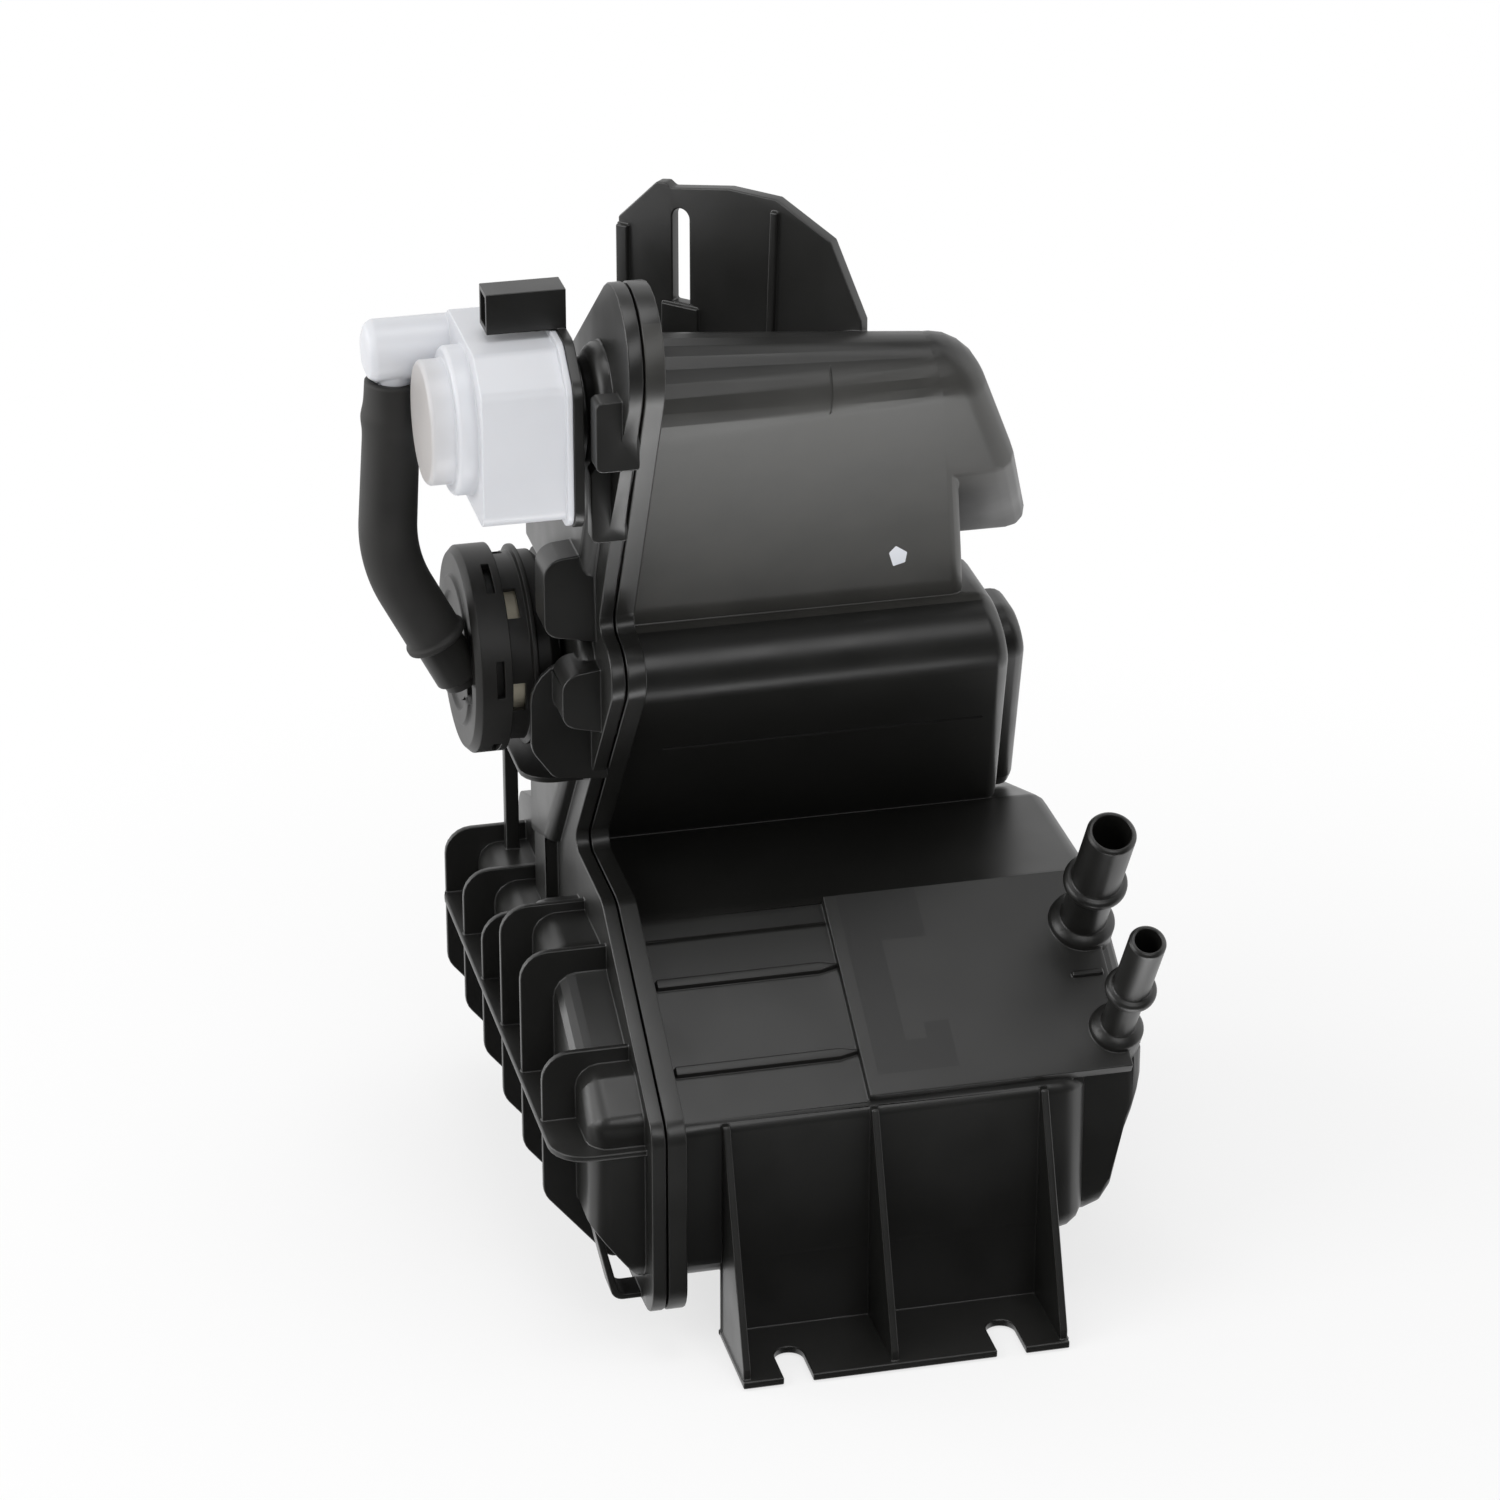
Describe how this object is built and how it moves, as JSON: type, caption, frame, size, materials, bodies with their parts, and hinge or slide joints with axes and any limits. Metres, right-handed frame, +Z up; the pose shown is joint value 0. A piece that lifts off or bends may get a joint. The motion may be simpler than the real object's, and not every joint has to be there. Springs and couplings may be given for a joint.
{
  "type": "charcoal canister",
  "caption": "Stepped black fuel-vapour canister with a finned welded cover, angled hose ports, foot bracket, slotted plate, air filter, hose and a white vent module",
  "frame": {"origin": "On the foot's underside, midway between the centres of the two screw notches", "axes": "+X from the cover towards the chambers' right end, +Y from the foot's front to the rear, +Z up"},
  "size_m": [0.2294, 0.226, 0.349],
  "materials": {
    "black_plastic": "satin moulded black nylon",
    "white_plastic": "smooth, slightly translucent white plastic",
    "hose_rubber": "soft matte black rubber",
    "seal_rubber": "black rubber",
    "carbon": "packed charcoal pellets",
    "felt": "non-woven felt",
    "filter_paper": "pleated filter paper",
    "spring_steel": "drawn spring wire",
    "coil_copper": "enamelled copper winding",
    "terminal_tin": "tinned blade"
  },
  "bodies": {
    "canister": {"canister_body": "black_plastic", "canister_cover": "black_plastic", "lower_carbon_bed": "carbon", "middle_carbon_bed": "carbon", "upper_carbon_bed": "carbon", "lower_port_pad": "felt", "middle_end_pad": "felt", "upper_end_pad": "felt", "lower_bed_pad": "felt", "middle_bed_pad": "felt", "upper_bed_pad": "felt", "lower_grid_plate": "black_plastic", "middle_grid_plate": "black_plastic", "upper_grid_plate": "black_plastic", "bed_springs": "spring_steel", "filter_case": "black_plastic", "filter_cap": "black_plastic", "filter_element": "filter_paper", "filter_seal": "seal_rubber", "module_base": "black_plastic", "module_housing": "white_plastic", "module_seal": "seal_rubber", "diaphragm": "seal_rubber", "solenoid_coil": "coil_copper", "valve_spring": "spring_steel", "connector_pins": "terminal_tin", "air_hose": "hose_rubber"},
    "valve": {"vent_valve": "seal_rubber"}
  },
  "joints": [
    {"name": "vent_valve_lift", "type": "slide", "parent": "canister", "child": "valve", "axis": [-1, 0, 0], "range_m": [0, 0.002], "stiffness_N_per_m": 300, "deforming": ["valve_spring"]}
  ]
}
